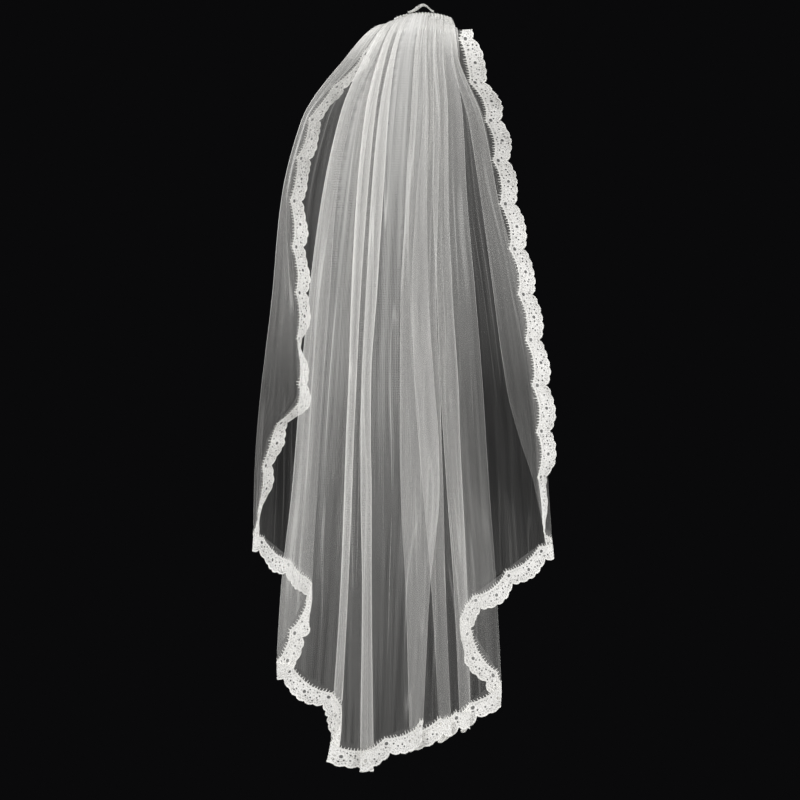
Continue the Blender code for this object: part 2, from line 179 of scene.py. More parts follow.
def slopeAt(length):
    turned = math.acos(max(-1.0, 1 - min(dropAt(length) / netFall["turnDrop"], 1.0)))
    down, back = netFall["turnDrop"] * math.sin(turned), netFall["turnDepth"] * math.cos(turned)
    return math.atan2(down, back)


# each fold line is a smooth curve through its table that never swings past a value in it
levels = np.array([lengthAt(drop * mm) for drop in netFall["drops"]])
rise = np.diff(across, axis=1) / np.diff(levels)
bothWays = rise[:, :-1] * rise[:, 1:]
total = rise[:, :-1] + rise[:, 1:]
inner = np.where(bothWays > 0, 2 * bothWays / np.where(total == 0, 1, total), 0)
slopes = np.concatenate([rise[:, :1], inner, rise[:, -1:]], axis=1)


@functools.lru_cache(maxsize=None)
def linesAt(length):
    # where each fold line stands at this length of cloth
    i = int(np.clip(np.searchsorted(levels, length) - 1, 0, len(levels) - 2))
    span = levels[i + 1] - levels[i]
    t = (length - levels[i]) / span
    if t > 1:
        x = across[:, -1] + slopes[:, -1] * (length - levels[-1])
    else:
        fromHere = (2 * t ** 3 - 3 * t ** 2 + 1) * across[:, i]
        leaving = (t ** 3 - 2 * t ** 2 + t) * span * slopes[:, i]
        toNext = (3 * t ** 2 - 2 * t ** 3) * across[:, i + 1]
        arriving = (t ** 3 - t ** 2) * span * slopes[:, i + 1]
        x = fromHere + leaving + toNext + arriving
    spread = smooth(length / netFall["spreadLength"])
    forward = forwardAtComb + (forwardFull - forwardAtComb) * spread
    grown = smooth(length / netFall["radiusGrowsOver"])
    radius = netFall["radiusAtComb"] + (netFall["foldRadius"] - netFall["radiusAtComb"]) * grown
    return x.tolist(), forward.tolist(), radius


def foldSizes(k, x, forward, radius):
    # a fold's half width and half depth, never more than the layers beside it leave room for
    beside = [j for j in (k - 1, k) if 0 <= j < layers]
    steps = [abs(forward[j + 1] - forward[j]) for j in beside if j != nearest]
    widths = [abs(x[j + 1] - x[j]) for j in beside]
    return min(radius, min(widths) / 2), min(radius, min(steps) / 2)


def sectionPoint(u, length):
    # the cloth's place in plan at layer position u
    k = min(max(int(math.floor(u)), 0), layers - 1)
    phi = u - k
    arc = netFall["arcShare"]
    x, forward, radius = linesAt(length)
    x0, x1, y0, y1 = x[k], x[k + 1], forward[k], forward[k + 1]
    way = math.copysign(1.0, x1 - x0)
    wide0, deep0 = foldSizes(k, x, forward, radius)
    wide1, deep1 = foldSizes(k + 1, x, forward, radius)
    deep0 *= foldSide[k]
    deep1 *= foldSide[k + 1]
    first, last = k == 0, k == layers - 1
    if phi < arc and not first:
        a = phi / arc * math.pi / 2
        return x0 + way * wide0 * (1 - math.cos(a)), y0 + deep0 * math.sin(a)
    if phi > 1 - arc and not last:
        a = (1 - phi) / arc * math.pi / 2
        return x1 - way * wide1 * (1 - math.cos(a)), y1 - deep1 * math.sin(a)
    low = 0.0 if first else arc
    high = 1.0 if last else 1 - arc
    start = (x0, y0) if first else (x0 + way * wide0, y0 + deep0)
    end = (x1, y1) if last else (x1 - way * wide1, y1 - deep1)
    share = (phi - low) / (high - low)
    return start[0] + (end[0] - start[0]) * share, start[1] + (end[1] - start[1]) * share


def combArch(x):
    return -x * x / (2 * netFall["archRadius"])


def placed(x, forward, u, length):
    # layers are stacked square to the cloth at the comb and level lower down
    stacked = float(np.interp(u, lineNumbers, forwardAtComb))
    full = float(np.interp(u, lineNumbers, forwardFull))
    spread = smooth(length / netFall["spreadLength"])
    square = forward * stacked / (stacked + (full - stacked) * spread)
    slope = slopeAt(length)
    lift = combArch(float(np.interp(u, lineNumbers, across[:, 0])))
    lift *= max(0.0, 1 - length / netFall["archFadesOver"])
    back = depthAt(length) - square * math.sin(slope) - (forward - square)
    return np.array([x, -back, lift - dropAt(length) - square * math.cos(slope)])


def netPoint(u, length):
    x, forward = sectionPoint(u, length)
    return placed(x, forward, u, length)


def hemLength(u):
    k = min(max(int(math.floor(u)), 0), layers - 1)
    share = 0.5 * (u - k) + 0.5 * smooth(u - k)
    return lengthAt(hemDrop[k] + (hemDrop[k + 1] - hemDrop[k]) * share)


# running length across the cloth, tabled so that the lace can be laid off from it
perLayer = netFall["tableSteps"]
sectionUs = np.linspace(0, layers, layers * perLayer + 1)
tableLengths = np.linspace(0, lengthAt(netFall["tableReach"]), netFall["tableRows"])
runTable = []
for length in tableLengths:
    plan = np.array([sectionPoint(u, float(length)) for u in sectionUs])
    runTable.append(np.concatenate([[0], np.cumsum(np.hypot(*np.diff(plan, axis=0).T))]))
runTable = np.array(runTable)
layerWidths = runTable[:, perLayer::perLayer] - runTable[:, :-perLayer:perLayer]
cutWidths = layerWidths[tableLengths > netFall["hangsFreeFrom"]].max(axis=0)
cutRun = np.concatenate([[0], np.cumsum(cutWidths)])
print("fall of the net worked out, hem", round(float(cutRun[-1]), 3), "m round")


def runAcross(length):
    at = min(max(length / tableLengths[1], 0), len(tableLengths) - 1.001)
    i = int(at)
    return runTable[i] + (runTable[i + 1] - runTable[i]) * (at - i)


laceTurn = {  # the way the lace points past each side edge, degrees from right to front
    "drops": (0, 60, 170, 365, 430, 485, 560, 620, 670),
    "left": (95, 62, 42, 48, 78, 58, 42, 66, 84),
    "right": (-10, 0, 12, 16, 16, 14, 20, 62, 78),
}


def movedAlong(u, length, sideways):
    run = runAcross(length)
    here = float(np.interp(u, sectionUs, run)) + sideways
    newU = float(np.interp(here, run, sectionUs))
    x, forward = sectionPoint(newU, length)
    beyond = min(here, 0.0) + max(here - run[-1], 0.0)
    if beyond:
        side = laceTurn["left"] if beyond < 0 else laceTurn["right"]
        a = math.radians(float(np.interp(dropAt(length) / mm, laceTurn["drops"], side)))
        x += abs(beyond) * math.cos(a)
        forward += abs(beyond) * math.sin(a)
    return placed(x, forward, newU, length)


def gridPiece(name, points, uvs, values, material):
    # a bmesh grid moved on to points[i, j], with a UV map and named vertex values
    nAcross, nDown = points.shape[0] - 1, points.shape[1] - 1
    bm = bmesh.new()
    bmesh.ops.create_grid(bm, x_segments=nAcross, y_segments=nDown, size=0.5)
    layersByName = {key: bm.verts.layers.float.new(key) for key in values}
    uvLayer = bm.loops.layers.uv.new("cloth")
    cells = {}
    for vert in bm.verts:
        i = round((vert.co.x + 0.5) * nAcross)
        j = round((0.5 - vert.co.y) * nDown)
        cells[vert.index] = (i, j)
        vert.co = points[i, j]
        for key, layer in layersByName.items():
            vert[layer] = values[key][i, j]
    for face in bm.faces:
        face.smooth = True
        for loop in face.loops:
            loop[uvLayer].uv = uvs[cells[loop.vert.index]]
    return meshPiece(name, bm, material)


def gridNormals(points):
    down = np.gradient(points, axis=1)
    side = np.gradient(points, axis=0)
    normal = np.cross(side, down)
    return normal / np.maximum(np.linalg.norm(normal, axis=2, keepdims=True), 1e-12)


# the net

tulle = {
    "colour": "#F1F0ED",
    "meshSize": 2.1,  # mm; the real net's 1 mm holes are too fine to show
    "onePly": 0.095,  # share of the view that one flat layer covers
    "creaseGain": 9.0,
    "creaseWidth": 1.3 * mm,
    "creasePatches": 90 * mm,  # a crease comes and goes over this length
    "leftWing": (2.5, 0.7),  # layer position where a wing starts beside the middle, and its ease
    "rightWing": (13.1, 1.2),
    # how much of the gathers each layer has, from the left edge to the right one
    "layerShare": (2.2, 0.7, 1.3, 1.05, 1.15, 1.15, 1.2, 1, 0.72,
                   0.64, 0.64, 0.64, 0.68, 0.7, 0.8, 0.9, 1, 1),
    # how many plies a layer gathers into, at these drops in mm, in the middle and in the side wings
    "drops": (0, 25, 60, 134, 234, 360, 486, 612, 738, 900),
    "middle": (10, 6.8, 4.6, 4.2, 3.3, 2.7, 2.5, 2.05, 1.6, 1.25),
    "wing": (10, 5.5, 2.2, 1.5, 1.1, 0.75, 0.36, 0.38, 0.6, 0.75),
    # how far lone layers make up for stacked ones
    "evened": (0.9, 0.9, 0.85, 0.8, 0.7, 0.55, 0.4, 0.05, -0.2, -0.3),
    "patterns": (
        # name, size across and down the cloth in mm, shift, detail, roughness
        ("streak", (7, 260), (0, 0, 0), 3.0, 0.6),
        ("line", (26, 700), (0, 0, 0), 1.0, 0.5),
        ("patch", (60, 240), (300, 90, 0), 2.0, 0.5),
    ),
}
ripples = {  # soft gathers between the folds; a pair is for the middle and for the side wings
    "size": (1.5 * mm, 4.0 * mm),
    "across": (12 * mm, 34 * mm),
    "down": (220 * mm, 340 * mm),
    "fineShare": 0.45,
    "fineAcross": 6 * mm,
    "fineDown": 150 * mm,
    "growOver": 220 * mm,
    "wideLayer": 40 * mm,  # a wing's layer that is narrower has the middle's size
}


def netMaterial():
    # polyester tulle, a knitted net of fine white filament: sheer, matt, with a faint silky bloom
    material, tree, shader = newMaterial("knittedTulle")
    uv = addNode(tree, "ShaderNodeUVMap", uv_map="cloth").outputs["UV"]
    plies, fold = (addNode(tree, "ShaderNodeAttribute", attribute_name=name).outputs["Fac"]
                   for name in ("plies", "fold"))
    inMm = addNode(tree, "ShaderNodeMapping", {"Vector": uv, "Scale": (1000, 1000, 1)}).outputs[0]
    cells = addNode(tree, "ShaderNodeTexVoronoi",
                    {"Vector": inMm, "Scale": 1 / tulle["meshSize"], "Randomness": 0.45},
                    voronoi_dimensions="2D", feature="DISTANCE_TO_EDGE").outputs["Distance"]
    threads = addNode(tree, "ShaderNodeMapRange",
                      {0: cells, 1: 0.03, 2: 0.26, 3: 1.45, 4: 0.68}).outputs[0]
    drawn = {}
    for name, (wide, long), shift, detail, roughness in tulle["patterns"]:
        at = addNode(tree, "ShaderNodeMapping", {"Vector": inMm, "Location": shift,
                                                 "Scale": (1 / wide, 1 / long, 1)}).outputs[0]
        drawn[name] = addNode(tree, "ShaderNodeTexNoise",
                              {"Vector": at, "Scale": 1.0, "Detail": detail, "Roughness": roughness},
                              noise_dimensions="2D").outputs["Fac"]
    # long uneven streaks, where the gathers run the net's threads together
    streak = addNode(tree, "ShaderNodeMapRange",
                     {0: drawn["streak"], 1: 0.3, 2: 0.72, 3: 0.72, 4: 1.35}).outputs[0]
    # fine creases that wander down the cloth and die away
    line = addNode(tree, "ShaderNodeMath", {0: drawn["line"], 1: 0.5}, operation="SUBTRACT").outputs[0]
    line = addNode(tree, "ShaderNodeMath", {0: line}, operation="ABSOLUTE").outputs[0]
    line = addNode(tree, "ShaderNodeMapRange", {0: line, 1: 0.0, 2: 0.022, 3: 1.0, 4: 0.0}).outputs[0]
    patch = addNode(tree, "ShaderNodeMapRange",
                    {0: drawn["patch"], 1: 0.42, 2: 0.62, 3: 0.0, 4: 2.0}).outputs[0]
    line = addNode(tree, "ShaderNodeMath", {0: line, 1: patch, 2: 1.0},
                   operation="MULTIPLY_ADD").outputs[0]
    creased = addNode(tree, "ShaderNodeMath", {0: fold, 1: tulle["creaseGain"], 2: 1.0},
                      operation="MULTIPLY_ADD").outputs[0]
    for share in (streak, threads, line, creased):
        plies = addNode(tree, "ShaderNodeMath", {0: plies, 1: share}, operation="MULTIPLY").outputs[0]
    clear = addNode(tree, "ShaderNodeMath", {0: 1 - tulle["onePly"], 1: plies},
                    operation="POWER").outputs[0]
    covered = addNode(tree, "ShaderNodeMath", {0: 1.0, 1: clear}, operation="SUBTRACT").outputs[0]
    setInputs(tree, shader, {"Alpha": covered, "Base Color": srgb(tulle["colour"]), "Roughness": 0.85,
                             "Specular IOR Level": 0.2, "Sheen Weight": 0.25, "Sheen Roughness": 0.5})
    return material


def netColumns():
    # layer positions: close together in the folds' arcs, even between them
    arc = netFall["arcShare"]
    found = []
    for k in range(layers):
        count = max(4, int(round(cutWidths[k] * (1 - 2 * arc) / netFall["columnStep"])))
        found += [k + arc * s for s in (0, 0.25, 0.5, 0.75)]
        found += list(k + arc + (1 - 2 * arc) * np.arange(count) / count)
        found += [k + 1 - arc * s for s in (1, 0.75, 0.5, 0.25)]
    return np.array(found + [layers])


def layersOver(xs, x):
    # about how many layers the view from behind passes through at x
    lo, hi = np.minimum(xs[:-1], xs[1:]), np.maximum(xs[:-1], xs[1:])
    nearby = [x + step * mm for step in (-4, -2, 0, 2, 4)]
    seen = sum(np.count_nonzero((lo <= at) & (hi > at)) for at in nearby)
    return max(seen / len(nearby), 1.0)


def makeNet():
    columns, rows = netColumns(), netFall["rows"]
    grid = (len(columns), rows + 1)
    points, uvs = np.zeros(grid + (3,)), np.zeros(grid + (2,))
    plies, fold, lift = np.zeros(grid), np.zeros(grid), np.zeros(grid)
    cutAt = np.interp(columns, lineNumbers, cutRun)
    viewLengths = tableLengths[::4]
    acrossAt = [np.array([sectionPoint(u, float(length))[0] for u in sectionUs])
                for length in viewLengths]
    leftEnd, leftEase = tulle["leftWing"]
    rightEnd, rightEase = tulle["rightWing"]
    for i, u in enumerate(columns):
        end = hemLength(u)
        k = min(int(u), layers - 1)
        nearLine = int(round(u))
        wing = int(k <= 2 or k >= layers - 3)
        size = ripples["size"][wing if cutWidths[k] > ripples["wideLayer"] else 0]
        bulge = math.sin(math.pi * (u - k)) ** 0.7
        wingShare = max(smooth((leftEnd - u) / leftEase), smooth((u - rightEnd) / rightEase))
        layerShare = np.interp(u, lineNumbers[:-1] + 0.5, tulle["layerShare"])
        away = abs(cutAt[i] - cutRun[nearLine]) / tulle["creaseWidth"]
        for j in range(rows + 1):
            share = (j / rows) ** netFall["rowEase"]
            length = netFall["netTop"] + (end - netFall["netTop"]) * share
            points[i, j] = netPoint(u, length)
            uvs[i, j] = (cutAt[i], length)
            drop = dropAt(length) / mm
            middle, wings, evened = (float(np.interp(drop, tulle["drops"], tulle[name]))
                                     for name in ("middle", "wing", "evened"))
            view = acrossAt[min(int(length / viewLengths[1]), len(acrossAt) - 1)]
            thinned = (2.0 / layersOver(view, points[i, j][0])) ** (evened * (1 - 0.8 * wingShare))
            plies[i, j] = (middle + (wings - middle) * wingShare) * thinned * layerShare
            patchAt = Vector((nearLine * 7.7, length / tulle["creasePatches"], 0.5))
            patchy = 0.75 + 0.5 * noise.noise(patchAt)
            fold[i, j] = crease[nearLine] * patchy * math.exp(-away * away)
            softAt = Vector((cutAt[i] / ripples["across"][wing], length / ripples["down"][wing],
                             2.0 + 0.3 * k))
            fineAt = Vector((cutAt[i] / ripples["fineAcross"], length / ripples["fineDown"], 9.0))
            wave = noise.noise(softAt) + ripples["fineShare"] * noise.noise(fineAt)
            lift[i, j] = size * smooth(length / ripples["growOver"]) * bulge * wave
    points += gridNormals(points) * lift[:, :, None]
    return gridPiece("veilNet", points, uvs, {"plies": plies, "fold": fold}, netMaterial())


veilNet = makeNet()
netArea = sum(face.area for face in veilNet.data.polygons)
print("net made,", len(veilNet.data.polygons), "faces,", round(netArea, 3), "square metres")


# the lace round the free edge

lace = {
    "cuspWidth": 19.5 * mm,  # where two scallops meet
    "rise": 9.5 * mm,  # how far each scallop bulges beyond that
    "pitch": 62 * mm,
    "cornerEase": 45 * mm,
    "starts": 14 * mm,
    "startShare": 0.68,  # narrower at first, tucked in beside the comb
    "opensOver": 30 * mm,
    "columnStep": 1.5 * mm,
    "rowsAcross": 14,
    "petal": 2.3 * mm,  # the small rounds along each scallop
    "petalPitch": 62 / 5 * mm,
    "picot": 0.5 * mm,  # the loops along the outer cord
    "picotPitch": 3.9 * mm,
    "innerWave": 7.5 * mm,  # the dense lace follows the scallops inside too
    "innerStart": 1.2 * mm,
    "innerUneven": 0.8 * mm,
    "flutter": 1.32 * mm,
    "flutterReach": 20.5 * mm,
    "flutterWaves": ((57.66 * mm, 1.0, 0), (113 * mm, 0.6, 1)),  # length, share and start
    "colour": "#FFFEFB",
    # the painted shade colour, laid in the hollows between the stitch ridges
    "paintedShade": "#E8E6E2",
    # gaps in a few cells: cell size in mm, share left whole, radius, shift, strength
    "gaps": ((5.4, 0.74, 0.2, 0, 1.0), (2.9, 0.68, 0.24, 40, 0.6)),
    # in one repeat from cusp to cusp: distance along, out from the net and radius, in mm
    "eyelets": ((31, 19, 2.2), (0.3, 9, 2.2), (61.7, 9, 2.2), (13, 17.5, 1.2), (20.5, 21.5, 1.2),
                (41.5, 21.5, 1.2), (49, 17.5, 1.2), (25, 12.5, 1.1), (36, 13, 1.1)),
    "eyeletStrength": 0.94,
    # rows of small slots: the edge they follow, distance from it and pitch, in mm
    "slots": (("outside", 3.1, 3.1), ("outside", 6.4, 4.4), ("inside", 3.0, 3.8)),
    "slotStrength": 0.42,
}


def freeEdge():
    # (u, length) down the left side, along the hem and up the right
    def side(u):
        start = netFall["netTop"]
        return [(u, start + (hemLength(u) - start) * share) for share in np.linspace(0, 1, 60)]

    return side(0) + [(u, hemLength(u)) for u in sectionUs[1:-1]] + side(layers)[::-1]


edgeAt = np.array(freeEdge(), float)
edgePoints = np.array([netPoint(u, length) for u, length in edgeAt])
edgeRun = np.concatenate([[0], np.cumsum(np.linalg.norm(np.diff(edgePoints, axis=0), axis=1))])
edgeLength = float(edgeRun[-1])
evenRun = np.linspace(0, edgeLength, 260)


def outwardWay():
    # -90 is left along the cloth, 0 is down it and 90 is right, eased round the corners
    u = np.interp(evenRun, edgeRun, edgeAt[:, 0])
    length = np.interp(evenRun, edgeRun, edgeAt[:, 1])
    angle = -np.degrees(np.arcsin(np.clip(np.gradient(length, evenRun), -1, 1)))
    angle[u <= 0.0] = -90
    angle[u >= layers] = 90
    reach = int(lace["cornerEase"] / (evenRun[1] - evenRun[0]))
    weights = np.hanning(2 * reach + 3)
    return np.convolve(np.pad(angle, reach + 1, mode="edge"), weights / weights.sum(), "valid")


outward = outwardWay()


def lacePoint(run, out):
    # out from the free edge, in the cloth's own surface; a negative out lies on the net
    u = float(np.interp(run, edgeRun, edgeAt[:, 0]))
    length = float(np.interp(run, edgeRun, edgeAt[:, 1]))
    onEdge = np.array([np.interp(run, edgeRun, axis) for axis in edgePoints.T])
    a = math.radians(float(np.interp(run, evenRun, outward)))
    moved = movedAlong(u, length + out * math.cos(a), out * math.sin(a))
    return onEdge + moved - movedAlong(u, length, 0.0)


def lobe(run):
    return math.sin(math.pi * ((run / lace["pitch"]) % 1)) ** 0.7


def laceOuter(run):
    petal = lace["petal"] * abs(math.sin(math.pi * run / lace["petalPitch"])) ** 0.8
    picot = lace["picot"] * abs(math.sin(math.pi * run / lace["picotPitch"])) ** 1.4
    started = smooth((min(run, edgeLength - run) - lace["starts"]) / lace["opensOver"])
    wide = lace["cuspWidth"] + lace["rise"] * lobe(run) + petal + picot
    return wide * (lace["startShare"] + (1 - lace["startShare"]) * started)


def laceInner(run):
    uneven = noise.noise(Vector((run / (6 * mm), 4.0, 0))) * lace["innerUneven"]
    return lace["innerWave"] * lobe(run) + lace["innerStart"] + uneven


def laceMaterial():
    # corded polyester lace: dense matt white stitching on a net ground, with eyelets left open
    material, tree, shader = newMaterial("cordedLace")
    uv = addNode(tree, "ShaderNodeUVMap", uv_map="cloth").outputs["UV"]
    # how far in from each cord, in mm
    fromCord = {name: addNode(tree, "ShaderNodeAttribute", attribute_name=name).outputs["Fac"]
                for name in ("inside", "outside")}
    inMm = addNode(tree, "ShaderNodeMapping", {"Vector": uv, "Scale": (1000, 1000, 1)}).outputs[0]
    gap = 0.0
    for size, whole, radius, shift, strength in lace["gaps"]:
        at = addNode(tree, "ShaderNodeMapping",
                     {"Vector": inMm, "Location": (shift, shift, 0)}).outputs[0]
        cell = addNode(tree, "ShaderNodeTexVoronoi",
                       {"Vector": at, "Scale": 1 / size, "Randomness": 0.75}, voronoi_dimensions="2D")
        chosen = addNode(tree, "ShaderNodeSeparateColor", {0: cell.outputs["Color"]}).outputs[0]
        chosen = addNode(tree, "ShaderNodeMath", {0: chosen, 1: whole},
                         operation="GREATER_THAN").outputs[0]
        hole = addNode(tree, "ShaderNodeMapRange",
                       {0: cell.outputs["Distance"], 1: radius * 0.75, 2: radius * 1.25,
                        3: strength, 4: 0.0}).outputs[0]
        hole = addNode(tree, "ShaderNodeMath", {0: hole, 1: chosen}, operation="MULTIPLY").outputs[0]
        gap = addNode(tree, "ShaderNodeMath", {0: gap, 1: hole}, operation="MAXIMUM").outputs[0]
    # worked eyelets: one where two scallops meet and a round inside each, the same in every repeat
    place = addNode(tree, "ShaderNodeSeparateXYZ", {0: uv}).outputs
    along = addNode(tree, "ShaderNodeMath", {0: place[0], 1: 1 / lace["pitch"]},
                    operation="MULTIPLY").outputs[0]
    along = addNode(tree, "ShaderNodeMath", {0: along}, operation="FRACT").outputs[0]
    along = addNode(tree, "ShaderNodeMath", {0: along, 1: lace["pitch"] / mm},
                    operation="MULTIPLY").outputs[0]
    outwards = addNode(tree, "ShaderNodeMath", {0: place[1], 1: 1 / mm},
                       operation="MULTIPLY").outputs[0]
    here = addNode(tree, "ShaderNodeCombineXYZ", {0: along, 1: outwards}).outputs[0]
    eye, rim = 0.0, 0.0
    for s, t, radius in lace["eyelets"]:
        away = addNode(tree, "ShaderNodeVectorMath", {0: here, 1: (s, t, 0)},
                       operation="DISTANCE").outputs["Value"]
        hole = addNode(tree, "ShaderNodeMapRange",
                       {0: away, 1: radius - 0.5, 2: radius + 0.4, 3: 1.0, 4: 0.0}).outputs[0]
        ring = addNode(tree, "ShaderNodeMapRange",
                       {0: away, 1: radius + 1.9, 2: radius + 0.9, 3: 0.0, 4: 1.0}).outputs[0]
        eye = addNode(tree, "ShaderNodeMath", {0: eye, 1: hole}, operation="MAXIMUM").outputs[0]
        rim = addNode(tree, "ShaderNodeMath", {0: rim, 1: ring}, operation="MAXIMUM").outputs[0]
    # the slots follow both edges, like a ladder
    for edge, distance, pitch in lace["slots"]:
        near = addNode(tree, "ShaderNodeMath", {0: fromCord[edge], 1: distance},
                       operation="SUBTRACT").outputs[0]
        near = addNode(tree, "ShaderNodeMath", {0: near}, operation="ABSOLUTE").outputs[0]
        near = addNode(tree, "ShaderNodeMapRange",
                       {0: near, 1: 0.35, 2: 0.95, 3: lace["slotStrength"], 4: 0.0}).outputs[0]
        beat = addNode(tree, "ShaderNodeMath", {0: place[0], 1: 2 * math.pi / (pitch * mm)},
                       operation="MULTIPLY").outputs[0]
        beat = addNode(tree, "ShaderNodeMath", {0: beat}, operation="SINE").outputs[0]
        beat = addNode(tree, "ShaderNodeMapRange", {0: beat, 1: -0.35, 2: 0.3}).outputs[0]
        slot = addNode(tree, "ShaderNodeMath", {0: near, 1: beat}, operation="MULTIPLY").outputs[0]
        gap = addNode(tree, "ShaderNodeMath", {0: gap, 1: slot}, operation="MAXIMUM").outputs[0]
    # each eyelet is rimmed and both edges are corded, so the other gaps stop short of them
    unrimmed = addNode(tree, "ShaderNodeMath", {0: 1.0, 1: rim}, operation="SUBTRACT").outputs[0]
    clearIn = addNode(tree, "ShaderNodeMapRange", {0: fromCord["inside"], 1: 1.5, 2: 2.8}).outputs[0]
    clearOut = addNode(tree, "ShaderNodeMapRange", {0: fromCord["outside"], 1: 1.5, 2: 2.6}).outputs[0]
    for share in (unrimmed, clearIn, clearOut):
        gap = addNode(tree, "ShaderNodeMath", {0: gap, 1: share}, operation="MULTIPLY").outputs[0]
    eye = addNode(tree, "ShaderNodeMath", {0: eye, 1: lace["eyeletStrength"]},
                  operation="MULTIPLY").outputs[0]
    gap = addNode(tree, "ShaderNodeMath", {0: gap, 1: eye}, operation="MAXIMUM").outputs[0]
    stitched = addNode(tree, "ShaderNodeMath", {0: 1.0, 1: gap}, operation="SUBTRACT").outputs[0]
    dense = addNode(tree, "ShaderNodeMapRange", {0: fromCord["inside"], 1: -0.5, 2: 0.5}).outputs[0]
    cover = addNode(tree, "ShaderNodeMath", {0: dense, 1: stitched}, operation="MULTIPLY").outputs[0]
    alpha = addNode(tree, "ShaderNodeMapRange", {0: cover, 3: 0.13, 4: 0.97}).outputs[0]
    # satin stitch runs in short ridges, raised by the bump; the same noise paints the ridge tops and
    # the eyelets' rims lighter and the hollows between them darker, as painted highlight and painted
    # shade
    ridgeAt = addNode(tree, "ShaderNodeMapping",
                      {"Vector": inMm, "Scale": (1 / 1.6, 1 / 2.6, 1)}).outputs[0]
    ridges = addNode(tree, "ShaderNodeTexNoise", {"Vector": ridgeAt, "Scale": 1.0, "Detail": 2.0},
                     noise_dimensions="2D").outputs["Fac"]
    ridges = addNode(tree, "ShaderNodeMath", {0: rim, 1: 0.25, 2: ridges},
                     operation="MULTIPLY_ADD").outputs[0]
    height = addNode(tree, "ShaderNodeMath", {0: ridges, 1: stitched}, operation="MULTIPLY").outputs[0]
    bump = addNode(tree, "ShaderNodeBump",
                   {"Height": height, "Strength": 0.7, "Distance": 0.0012}).outputs[0]
    # painted highlight on the ridge tops and rims, painted shade between the ridges
    paintedLightShare = addNode(tree, "ShaderNodeMapRange", {0: ridges, 1: 0.3, 2: 0.62}).outputs[0]
    colour = addNode(tree, "ShaderNodeMix", {0: paintedLightShare, 6: srgb(lace["paintedShade"]), 7: srgb(lace["colour"])},
                     data_type="RGBA").outputs[2]
    setInputs(tree, shader, {"Alpha": alpha, "Normal": bump, "Base Color": colour, "Roughness": 0.72,
                             "Specular IOR Level": 0.3, "Sheen Weight": 0.2})
    return material


laceRuns = np.arange(lace["starts"], edgeLength - lace["starts"], lace["columnStep"])


def lacePoints(outs):
    # a row of points at each column, outs(run) giving their distances from the edge
    grid = np.array([[lacePoint(run, out) for out in outs(run)] for run in laceRuns])
    normal = gridNormals(grid)
    for i, run in enumerate(laceRuns):
        wave = sum(share * math.sin(2 * math.pi * run / long + start)
                   for long, share, start in lace["flutterWaves"])
        for j, out in enumerate(outs(run)):
            loose = max(out, 0) / lace["flutterReach"]
            grid[i, j] += normal[i, j] * lace["flutter"] * loose ** 1.5 * wave
    return grid


def makeLace(material):
    shares = np.linspace(0, 1, lace["rowsAcross"] + 1)
    points = lacePoints(lambda run: shares * laceOuter(run))
    uvs = np.zeros(points.shape[:2] + (2,))
    inside, outside = np.zeros(points.shape[:2]), np.zeros(points.shape[:2])
    for i, run in enumerate(laceRuns):
        outer, innerEdge = laceOuter(run), laceInner(run)
        for j, share in enumerate(shares):
            out = share * outer
            uvs[i, j] = (run, out)
            inside[i, j] = (out - innerEdge) / mm
            outside[i, j] = (outer - out) / mm
    return gridPiece("laceEdging", points, uvs, {"inside": inside, "outside": outside}, material)


laceStuff = laceMaterial()
laceEdging = makeLace(laceStuff)
laceArea = sum(face.area for face in laceEdging.data.polygons)
print("lace made,", len(laceEdging.data.polygons), "faces,", round(laceArea, 4), "square metres,",
      round(edgeLength, 3), "m long")


# cords and lashes on the lace

cording = {
    "outerRadius": 0.65 * mm,
    "innerRadius": 0.3 * mm,
    "colour": "#FFFEFB",
    # the painted shade colour in the twist's hollows
    "paintedShade": "#ECEBE6",
    "lashStep": 3.9 * mm,
    "lashLength": 5.2 * mm,
    "lashWidth": 1.7 * mm,  # tufts of a few lashes; one alone is finer than a pixel
    "lashTaper": 0.85,
    "lashLean": 2.4 * mm,
    "lashRoot": 0.8 * mm,
    "lashLift": 0.35 * mm,  # clear of the net
}


def threadMaterial():
    # viscose gimp and cut thread ends: soft white with a little lustre; the low parts of the twist's
    # bump are painted darker, as painted shade
    material, tree, shader = newMaterial("gimpThread")
    where = addNode(tree, "ShaderNodeTexCoord").outputs["Object"]
    twist = addNode(tree, "ShaderNodeTexNoise",
                    {"Vector": where, "Scale": 1400.0, "Detail": 1.0}).outputs["Fac"]
    bump = addNode(tree, "ShaderNodeBump",
                   {"Height": twist, "Strength": 0.4, "Distance": 0.0003}).outputs[0]
    # painted shade in the twist's hollows, lighter on its ridges
    paintedLightShare = addNode(tree, "ShaderNodeMapRange", {0: twist, 1: 0.3, 2: 0.7}).outputs[0]
    colour = addNode(tree, "ShaderNodeMix",
                     {0: paintedLightShare, 6: srgb(cording["paintedShade"]), 7: srgb(cording["colour"])},
                     data_type="RGBA").outputs[2]
    setInputs(tree, shader, {"Normal": bump, "Base Color": colour, "Roughness": 0.55})
    return material


def cordAlong(name, points, radius, material):
    curve = bpy.data.curves.new(name, "CURVE")
    curve.dimensions = "3D"
    curve.bevel_depth = radius
    curve.bevel_resolution = 1
    curve.use_fill_caps = True
    spline = curve.splines.new("POLY")
    spline.points.add(len(points) - 1)
    for point, place in zip(spline.points, points):
        point.co = (*place, 1)
    return addObject(name, curve, material)


